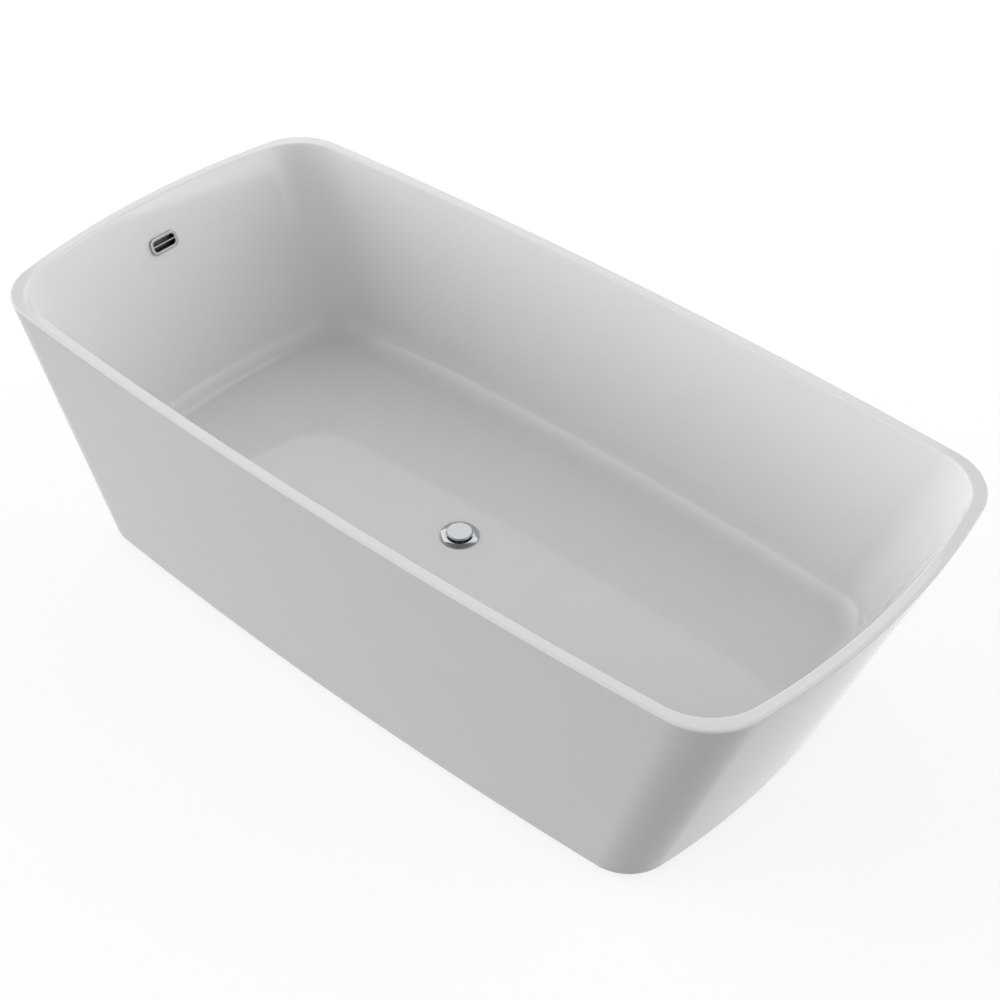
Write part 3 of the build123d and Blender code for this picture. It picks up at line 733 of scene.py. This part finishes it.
def finish(tree, inputs):
    """Ends a material in its shader."""
    shader = add(tree, "ShaderNodeBsdfPrincipled", inputs)
    add(tree, "ShaderNodeOutputMaterial", {"Surface": shader.outputs[0]})


def cast_acrylic():
    """White cast acrylic sheet, drawn over a mould and polished: a deep, even gloss whose reflections
    waver a little, because the sheet keeps a faint orange peel and was polished by hand."""
    material, tree, place = new_material("cast_acrylic_sheet")
    polish = add(tree, "ShaderNodeTexNoise", {"Vector": place, "Scale": per(140), "Detail": 3.0})
    rough = add(tree, "ShaderNodeMapRange", {
        "Value": polish.outputs[0], "From Min": 0.3, "From Max": 0.7, "To Min": 0.04, "To Max": 0.09})
    # The sheet is a shade warmer where the draw has thinned it
    tint = add(tree, "ShaderNodeMix", {
        0: polish.outputs[0], 6: colour("#E0E0E0"), 7: colour("#E3E3E3")}, data_type="RGBA")
    peel = add(tree, "ShaderNodeTexNoise", {"Vector": place, "Scale": per(9), "Detail": 1.0})
    bump = add(tree, "ShaderNodeBump", {
        "Height": peel.outputs[0], "Strength": 0.25, "Distance": 0.02 * MM})
    finish(tree, {
        "Base Color": tint.outputs[2], "Roughness": rough.outputs[0],
        "Normal": bump.outputs[0], "IOR": 1.49})
    return material


def bright_chrome():
    """Nickel and chrome plate on polished brass: a cold mirror, dulled in patches by water marks."""
    material, tree, place = new_material("bright_chrome_plate")
    marks = add(tree, "ShaderNodeTexNoise", {"Vector": place, "Scale": per(14), "Detail": 4.0})
    rough = add(tree, "ShaderNodeMapRange", {
        "Value": marks.outputs[0], "From Min": 0.45, "From Max": 0.75, "To Min": 0.04, "To Max": 0.16})
    tint = add(tree, "ShaderNodeMix", {
        0: marks.outputs[0], 6: colour("#AFB2B5"), 7: colour("#BBBDBF")}, data_type="RGBA")
    finish(tree, {"Base Color": tint.outputs[2], "Roughness": rough.outputs[0], "Metallic": 1.0})
    return material


def satin_chrome():
    """Chrome plate on a blasted moulding: the same metal, frosted, so that it mirrors only softly."""
    material, tree, place = new_material("satin_chrome_plate")
    frost = add(tree, "ShaderNodeTexNoise", {"Vector": place, "Scale": per(3), "Detail": 4.0})
    tint = add(tree, "ShaderNodeMix", {
        0: frost.outputs[0], 6: colour("#A2A5A8"), 7: colour("#AEB1B4")}, data_type="RGBA")
    rough = add(tree, "ShaderNodeMapRange", {"Value": frost.outputs[0], "To Min": 0.26, "To Max": 0.36})
    finish(tree, {"Base Color": tint.outputs[2], "Roughness": rough.outputs[0], "Metallic": 1.0})
    return material


def cured_adhesive():
    """Methacrylate adhesive, squeezed out and cured: off-white, matt and lumpy."""
    material, tree, place = new_material("cured_methacrylate_adhesive")
    lumps = add(tree, "ShaderNodeTexNoise", {"Vector": place, "Scale": per(6), "Detail": 3.0})
    tint = add(tree, "ShaderNodeMix", {
        0: lumps.outputs[0], 6: colour("#C9C5B4"), 7: colour("#E2DECF")}, data_type="RGBA")
    bump = add(tree, "ShaderNodeBump", {
        "Height": lumps.outputs[0], "Strength": 0.5, "Distance": 0.6 * MM})
    finish(tree, {"Base Color": tint.outputs[2], "Roughness": 0.55, "Normal": bump.outputs[0]})
    return material


def chipboard():
    """Chipboard: pressed wood chips of 4 to 9 mm in glue, each its own shade, with a sanded face."""
    material, tree, place = new_material("pressed_chipboard")
    chips = add(tree, "ShaderNodeTexVoronoi", {"Vector": place, "Scale": per(7), "Randomness": 1.0})
    fibres = add(tree, "ShaderNodeTexNoise", {"Vector": place, "Scale": per(2), "Detail": 4.0})
    shade = add(tree, "ShaderNodeSeparateColor", {0: chips.outputs["Color"]})
    chip = add(tree, "ShaderNodeMix", {
        0: shade.outputs[0], 6: colour("#A98A5E"), 7: colour("#D8BE92")}, data_type="RGBA")
    tint = add(tree, "ShaderNodeMix", {
        0: fibres.outputs[0], 6: chip.outputs[2], 7: colour("#8F744B")}, data_type="RGBA")
    bump = add(tree, "ShaderNodeBump", {
        "Height": chips.outputs["Distance"], "Strength": 0.4, "Distance": 0.3 * MM})
    finish(tree, {"Base Color": tint.outputs[2], "Roughness": 0.8, "Normal": bump.outputs[0]})
    return material


def planed_softwood():
    """Planed spruce: growth rings 4 mm apart that waver, dark late wood and a dry, dull face."""
    material, tree, place = new_material("planed_spruce")
    rings = add(tree, "ShaderNodeTexWave", {
        "Vector": place, "Scale": per(4) / (2 * np.pi), "Distortion": 3.0,
        "Detail": 3.0, "Detail Scale": 1.5}, bands_direction="Y")
    tint = add(tree, "ShaderNodeMix", {
        0: rings.outputs[1], 6: colour("#D9BC8A"), 7: colour("#B28B55")}, data_type="RGBA")
    bump = add(tree, "ShaderNodeBump", {
        "Height": rings.outputs[1], "Strength": 0.3, "Distance": 0.1 * MM})
    finish(tree, {"Base Color": tint.outputs[2], "Roughness": 0.7, "Normal": bump.outputs[0]})
    return material


def powder_coat():
    """Grey polyester powder baked on welded tube: half gloss with a fine, even peel about 1 mm apart."""
    material, tree, place = new_material("grey_powder_coat")
    peel = add(tree, "ShaderNodeTexNoise", {"Vector": place, "Scale": per(1.2), "Detail": 2.0})
    patches = add(tree, "ShaderNodeTexNoise", {"Vector": place, "Scale": per(60), "Detail": 2.0})
    tint = add(tree, "ShaderNodeMix", {
        0: patches.outputs[0], 6: colour("#74787B"), 7: colour("#84888B")}, data_type="RGBA")
    bump = add(tree, "ShaderNodeBump", {
        "Height": peel.outputs[0], "Strength": 0.5, "Distance": 0.08 * MM})
    finish(tree, {"Base Color": tint.outputs[2], "Roughness": 0.38, "Normal": bump.outputs[0]})
    return material


def zinc_plate():
    """Bright zinc plate, passivated: a grey metal with a cold and a straw-coloured cast in patches."""
    material, tree, place = new_material("passivated_zinc_plate")
    cast = add(tree, "ShaderNodeTexNoise", {"Vector": place, "Scale": per(9), "Detail": 3.0})
    tint = add(tree, "ShaderNodeMix", {
        0: cast.outputs[0], 6: colour("#A9B0B8"), 7: colour("#C4BFA8")}, data_type="RGBA")
    rough = add(tree, "ShaderNodeMapRange", {"Value": cast.outputs[0], "To Min": 0.22, "To Max": 0.5})
    finish(tree, {"Base Color": tint.outputs[2], "Roughness": rough.outputs[0], "Metallic": 1.0})
    return material


def moulded(name, dark, light, roughness, grain_mm, grain_depth_mm):
    """An injection-moulded plastic: its tool's fine grain, and slow streaks where the melt flowed."""
    material, tree, place = new_material(name)
    stretched = add(tree, "ShaderNodeMapping", {"Vector": place, "Scale": (1.0, 1.0, 0.25)})
    flow = add(tree, "ShaderNodeTexNoise", {
        "Vector": stretched.outputs[0], "Scale": per(18), "Detail": 2.0})
    grain = add(tree, "ShaderNodeTexNoise", {"Vector": place, "Scale": per(grain_mm), "Detail": 2.0})
    tint = add(tree, "ShaderNodeMix", {
        0: flow.outputs[0], 6: colour(dark), 7: colour(light)}, data_type="RGBA")
    rough = add(tree, "ShaderNodeMapRange", {
        "Value": flow.outputs[0], "To Min": roughness - 0.06, "To Max": roughness + 0.06})
    bump = add(tree, "ShaderNodeBump", {
        "Height": grain.outputs[0], "Strength": 0.4, "Distance": grain_depth_mm * MM})
    finish(tree, {"Base Color": tint.outputs[2], "Roughness": rough.outputs[0], "Normal": bump.outputs[0]})
    return material


def matt_white_paint():
    """Matt white wall paint on a floor: the roller leaves a very faint stipple.

    The floor is lit from below as well, as a light table is, so that the tub's shadow on it is faint.
    """
    material, tree, place = new_material("painted_studio_floor")
    stipple = add(tree, "ShaderNodeTexNoise", {"Vector": place, "Scale": per(5), "Detail": 2.0})
    bump = add(tree, "ShaderNodeBump", {
        "Height": stipple.outputs[0], "Strength": 0.1, "Distance": 0.1 * MM})
    finish(tree, {
        "Base Color": colour("#888888"), "Roughness": 0.85, "Normal": bump.outputs[0],
        "Emission Color": colour("#FFFFFF"), "Emission Strength": 0.77})
    return material


def turned_metal(name, dark, light, roughness):
    """A metal turned on a lathe: fine rings from the tool, drawn 0.6 mm apart so that they show."""
    material, tree, place = new_material(name)
    rings = add(tree, "ShaderNodeTexWave", {
        "Vector": place, "Scale": per(0.6) / (2 * np.pi), "Distortion": 0.4,
        "Detail": 1.0}, bands_direction="Z")
    tint = add(tree, "ShaderNodeMix", {
        0: rings.outputs[1], 6: colour(dark), 7: colour(light)}, data_type="RGBA")
    bump = add(tree, "ShaderNodeBump", {
        "Height": rings.outputs[1], "Strength": 0.3, "Distance": 0.03 * MM})
    finish(tree, {
        "Base Color": tint.outputs[2], "Roughness": roughness,
        "Metallic": 1.0, "Normal": bump.outputs[0]})
    return material


# Polypropylene is waxy, polyamide and EPDM rubber are dull, and rubber has a grey bloom
finishes = {
    "acrylic": cast_acrylic(),
    "bond": cured_adhesive(),
    "board": chipboard(),
    "glue_block": planed_softwood(),
    "frame_steel": powder_coat(),
    "zinc": zinc_plate(),
    "black_plastic": moulded("black_polyamide", "#17181A", "#222326", 0.5, 0.8, 0.06),
    "chrome": bright_chrome(),
    "seal_rubber": moulded("epdm_rubber", "#1B1B1C", "#2C2C2D", 0.75, 1.5, 0.05),
    "pipe_white": moulded("white_polypropylene", "#D2D3D1", "#DCDDDB", 0.34, 2.5, 0.04),
    "nut_grey": moulded("grey_polypropylene", "#6B7075", "#797E83", 0.42, 1.2, 0.06),
    "brass": turned_metal("tarnished_brass", "#5C574C", "#736C5C", 0.4),
    "spring_steel": turned_metal("drawn_stainless", "#8E9092", "#B5B7B9", 0.22),
}

# The overflow's water way is given dark grey in place of its white, as painted shade, so the slot in front
# of it looks dark
slot_shade_plastic = moulded("painted_slot_shade_grey", "#4A4C4E", "#565859", 0.45, 1.2, 0.05)
water_way = ("overflow_head", "overflow_duct")

slot_of = {subpart["node"]: subpart["material_slot"] for subpart in frame["record"]["subparts"]}
for node, slot in slot_of.items():
    for material_slot in frame["nodes"][node].material_slots:
        # The overflow head and duct take the dark grey of painted shade; the other parts take their slot's
        # finish
        material_slot.material = slot_shade_plastic if node in water_way else finishes[slot]


def install(piece, body, node, slot=None, surface=None):
    """Puts a finished piece in the place of its CAD node.

    It takes the finish of that node's slot, unless another slot or finish is given.
    """
    slot = slot or slot_of[node]
    piece.data.materials.clear()
    piece.data.materials.append(surface or finishes[slot])
    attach(piece, body)
    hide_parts(node)
    return piece


install(make_basin(), "tub", "basin")
install(make_skirt(), "tub", "skirt")
install(make_bezel(), "tub", "overflow_bezel", surface=satin_chrome())
install(make_bar(), "tub", "overflow_bezel")
# The sleeve's black plastic is painted shade inside the overflow's slot
install(make_spigot(), "tub", "overflow_bezel", "black_plastic")
install(make_flange(), "tub", "waste_flange")
install(make_spider(), "tub", "waste_flange")
install(make_cap(), "plug", "plug_cap")
install(make_seal(), "plug", "plug_seal")
spring = install(make_spring(), "tub", "plug_spring")
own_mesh(spring)
for number in range(1, 5):
    stud, pad = f"foot_stud_{number}", f"foot_pad_{number}"
    install(make_stud(f"foot_screw_{number}_thread", stud), f"foot_screw_{number}", stud)
    install(make_pad(f"foot_{number}_moulding", pad), f"foot_{number}", pad)

# ---- Floor, light and camera ----

reach = 20
floor_corners = [(-reach, -reach, 0), (reach, -reach, 0), (reach, reach, 0), (-reach, reach, 0)]
floor_mesh = bpy.data.meshes.new("studio_floor")
floor_mesh.from_pydata(floor_corners, [], [(0, 1, 2, 3)])
floor_mesh.materials.append(matt_white_paint())
studio_floor = bpy.data.objects.new("studio_floor", floor_mesh)
bpy.context.scene.collection.objects.link(studio_floor)
studio_floor.visible_diffuse = False

camera_azimuth = np.radians(40.84)
camera_elevation = np.radians(41.45)
camera_roll = np.radians(0.81)
camera_aim = Vector((0.056, 0.016, 0.25))
camera_distance = 3.381

# A white tent round the tub, with a broad soft bank of light low down on the camera's left and right,
# both fading towards the top and towards the camera and its far side. A bank's radiance over the
# tent's is BANKS * w * w * (1 - RIGHT_BANK_LOSS * w) / (1 + up), where w is how far a direction points
# to the right and up is its height, so the right bank is the weaker one.
TENT, BANKS, UNDER = 0.22, 3.45, 0.03
RIGHT_BANK_LOSS = 0.14
HORIZON = 0.02              # half the height over which the tent's foot fades out
world = bpy.data.worlds.new("soft_studio_tent")
bpy.context.scene.world = world
world.use_nodes = True
tent = world.node_tree
tent.nodes.clear()
heading = add(tent, "ShaderNodeTexCoord", {}).outputs["Generated"]
height = add(tent, "ShaderNodeSeparateXYZ", {0: heading}).outputs[2]
to_the_right = (np.cos(camera_azimuth), np.sin(camera_azimuth), 0)
sideways = add(
    tent, "ShaderNodeVectorMath", {0: heading, 1: to_the_right}, operation="DOT_PRODUCT").outputs["Value"]
squared = add(tent, "ShaderNodeMath", {0: sideways, 1: sideways}, operation="MULTIPLY").outputs[0]
above = add(tent, "ShaderNodeMath", {0: height, 1: 1.0}, operation="ADD").outputs[0]
lopsided = add(tent, "ShaderNodeMath", {
    0: sideways, 1: -RIGHT_BANK_LOSS, 2: 1.0}, operation="MULTIPLY_ADD").outputs[0]
weighted = add(tent, "ShaderNodeMath", {0: squared, 1: lopsided}, operation="MULTIPLY").outputs[0]
faded = add(tent, "ShaderNodeMath", {0: weighted, 1: above}, operation="DIVIDE").outputs[0]
sky = add(tent, "ShaderNodeMath", {0: faded, 1: BANKS, 2: TENT}, operation="MULTIPLY_ADD").outputs[0]
strength = add(tent, "ShaderNodeMapRange", {
    "Value": height, "From Min": -HORIZON, "From Max": HORIZON,
    "To Min": UNDER, "To Max": sky}).outputs[0]
light = add(tent, "ShaderNodeBackground", {"Color": colour("#FFFFFF"), "Strength": strength})
add(tent, "ShaderNodeOutputWorld", {"Surface": light.outputs[0]})

# A reflector behind the tub, where the rim and the chrome mirror it towards the camera
panel_distance = 4.2
panel = bpy.data.lights.new("back_reflector", "AREA")
panel.shape = "RECTANGLE"
panel.size, panel.size_y = 3.4, 2.8
panel.energy = 33
reflector = bpy.data.objects.new("back_reflector", panel)
panel_turn = (
    Matrix.Rotation(camera_azimuth + np.pi, 4, "Z")
    @ Matrix.Rotation(QUARTER_TURN - camera_elevation, 4, "X")
)
reflector.matrix_world = panel_turn @ Matrix.Translation((0, 0, panel_distance))
bpy.context.scene.collection.objects.link(reflector)

lens = bpy.data.cameras.new("camera")
lens.lens = 68.55
lens.sensor_width = 36
camera = bpy.data.objects.new("camera", lens)
camera_turn = (
    Matrix.Rotation(camera_azimuth, 4, "Z")
    @ Matrix.Rotation(QUARTER_TURN - camera_elevation, 4, "X")
    @ Matrix.Rotation(camera_roll, 4, "Z")
)
camera.matrix_world = (
    Matrix.Translation(camera_aim) @ camera_turn @ Matrix.Translation((0, 0, camera_distance))
)
bpy.context.scene.collection.objects.link(camera)
bpy.context.scene.camera = camera
bpy.context.scene.view_settings.view_transform = "Standard"
